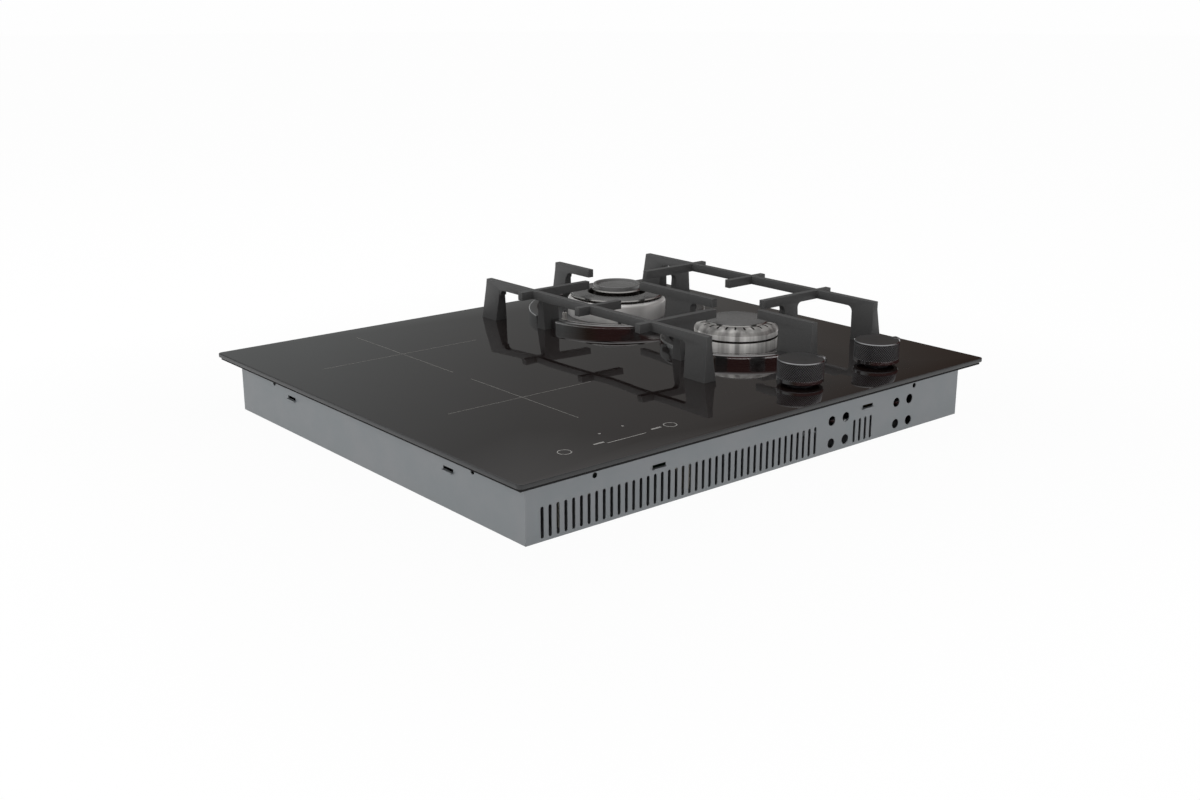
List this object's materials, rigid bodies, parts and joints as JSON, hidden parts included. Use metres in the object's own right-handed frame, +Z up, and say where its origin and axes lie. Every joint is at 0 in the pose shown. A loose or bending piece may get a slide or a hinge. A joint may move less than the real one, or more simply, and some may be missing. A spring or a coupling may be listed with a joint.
{
  "type": "gas and induction hob",
  "caption": "Built-in hob with a black glass top: touch-controlled induction zones on the left, gas burners with cast supports and knobs on the right, in a vented steel casing.",
  "frame": {"origin": "centre of the casing's underside", "axes": "+X to the right, +Y to the back, +Z up"},
  "size_m": [0.59, 0.52, 0.1052],
  "materials": {
    "casing_steel": "dull zinc-coated sheet",
    "black_glass": "polished, opaque black",
    "silicone": "matt",
    "foam": "matt closed-cell foam",
    "plain_steel": "satin",
    "aluminium": "satin",
    "copper_winding": "varnished",
    "ferrite": "matt",
    "mica": "matt",
    "white_ceramic": "matt",
    "circuit_board": "satin",
    "black_plastic": "moulded",
    "light_plastic": "moulded",
    "brass": "turned",
    "cast_aluminium": "satin cast",
    "polished_steel": "polished",
    "enamel": "satin enamel",
    "cast_iron": "matt black enamel",
    "dark_chrome": "dark, knurled",
    "silicone_lead": "matt"
  },
  "bodies": {
    "hob": {"casing": "casing_steel", "glass_top": "black_glass", "glass_bond": "silicone", "worktop_seal": "foam", "divider": "casing_steel", "screws": "plain_steel", "coil_tray": "aluminium", "tray_posts": "plain_steel", "rear_coil": "copper_winding", "front_coil": "copper_winding", "ferrite_bars": "ferrite", "mica_discs": "mica", "coil_sensors": "white_ceramic", "power_board": "circuit_board", "board_standoffs": "light_plastic", "board_parts": "black_plastic", "heat_sink": "aluminium", "fan_housing": "black_plastic", "touch_holder": "light_plastic", "touch_board": "circuit_board", "touch_springs": "plain_steel", "terminal_block": "light_plastic", "cable_gland": "black_plastic", "gas_inlet": "brass", "gas_ramp": "plain_steel", "wok_tap": "brass", "rapid_tap": "brass", "tap_bonnets": "plain_steel", "wok_pipe": "aluminium", "rapid_pipe": "aluminium", "wok_cup": "cast_aluminium", "rapid_cup": "cast_aluminium", "injectors": "brass", "spark_generator": "black_plastic", "ignition_leads": "silicone_lead", "thermocouple_leads": "copper_winding", "wok_dish": "polished_steel", "rapid_dish": "polished_steel", "spark_electrodes": "white_ceramic", "thermocouples": "plain_steel", "knob_gaskets": "silicone"},
    "left_support_body": {"left_support": "cast_iron"},
    "right_support_body": {"right_support": "cast_iron"},
    "rear_finger_body": {"rear_finger": "cast_iron"},
    "centre_bar_body": {"centre_bar": "cast_iron"},
    "front_finger_body": {"front_finger": "cast_iron"},
    "wok_crown_body": {"wok_crown": "cast_aluminium"},
    "wok_ring_cap_body": {"wok_ring_cap": "enamel"},
    "wok_centre_cap_body": {"wok_centre_cap": "enamel"},
    "rapid_crown_body": {"rapid_crown": "cast_aluminium"},
    "rapid_cap_body": {"rapid_cap": "enamel"},
    "wok_plug_body": {"wok_plug": "brass", "wok_spring": "plain_steel"},
    "wok_knob_body": {"wok_spindle": "plain_steel", "knob_left": "dark_chrome"},
    "rapid_plug_body": {"rapid_plug": "brass", "rapid_spring": "plain_steel"},
    "rapid_knob_body": {"rapid_spindle": "plain_steel", "knob_right": "dark_chrome"},
    "fan_rotor_body": {"fan_rotor": "black_plastic"}
  },
  "joints": [
    {"name": "left_support_lift", "type": "slide", "parent": "hob", "child": "left_support_body", "axis": [0, 0, 1], "range_m": [0, 0.08]},
    {"name": "right_support_lift", "type": "slide", "parent": "hob", "child": "right_support_body", "axis": [0, 0, 1], "range_m": [0, 0.08]},
    {"name": "rear_finger_lift", "type": "slide", "parent": "hob", "child": "rear_finger_body", "axis": [0, 0, 1], "range_m": [0, 0.08]},
    {"name": "centre_bar_lift", "type": "slide", "parent": "hob", "child": "centre_bar_body", "axis": [0, 0, 1], "range_m": [0, 0.08]},
    {"name": "front_finger_lift", "type": "slide", "parent": "hob", "child": "front_finger_body", "axis": [0, 0, 1], "range_m": [0, 0.08]},
    {"name": "wok_crown_lift", "type": "slide", "parent": "hob", "child": "wok_crown_body", "axis": [0, 0, 1], "range_m": [0, 0.004]},
    {"name": "wok_ring_cap_lift", "type": "slide", "parent": "wok_crown_body", "child": "wok_ring_cap_body", "axis": [0, 0, 1], "range_m": [0, 0.003]},
    {"name": "wok_centre_cap_lift", "type": "slide", "parent": "wok_crown_body", "child": "wok_centre_cap_body", "axis": [0, 0, 1], "range_m": [0, 0.05]},
    {"name": "rapid_crown_lift", "type": "slide", "parent": "hob", "child": "rapid_crown_body", "axis": [0, 0, 1], "range_m": [0, 0.004]},
    {"name": "rapid_cap_lift", "type": "slide", "parent": "rapid_crown_body", "child": "rapid_cap_body", "axis": [0, 0, 1], "range_m": [0, 0.05]},
    {"name": "wok_knob_turn", "type": "hinge", "parent": "hob", "child": "wok_plug_body", "pos_m": [0.079, -0.205, 0.03], "axis": [0, 0, 1], "range_deg": [0, 210]},
    {"name": "wok_knob_push", "type": "slide", "parent": "wok_plug_body", "child": "wok_knob_body", "axis": [0, 0, 1], "range_m": [-0.002, 0], "stiffness_N_per_m": 1000, "springref_m": 0.003, "deforming": ["wok_spring"]},
    {"name": "rapid_knob_turn", "type": "hinge", "parent": "hob", "child": "rapid_plug_body", "pos_m": [0.191, -0.205, 0.03], "axis": [0, 0, 1], "range_deg": [0, 210]},
    {"name": "rapid_knob_push", "type": "slide", "parent": "rapid_plug_body", "child": "rapid_knob_body", "axis": [0, 0, 1], "range_m": [-0.002, 0], "stiffness_N_per_m": 1000, "springref_m": 0.003, "deforming": ["rapid_spring"]},
    {"name": "fan_spin", "type": "hinge", "parent": "hob", "child": "fan_rotor_body", "pos_m": [-0.222, -0.14, 0.015], "axis": [0, 0, 1], "continuous": true}
  ]
}
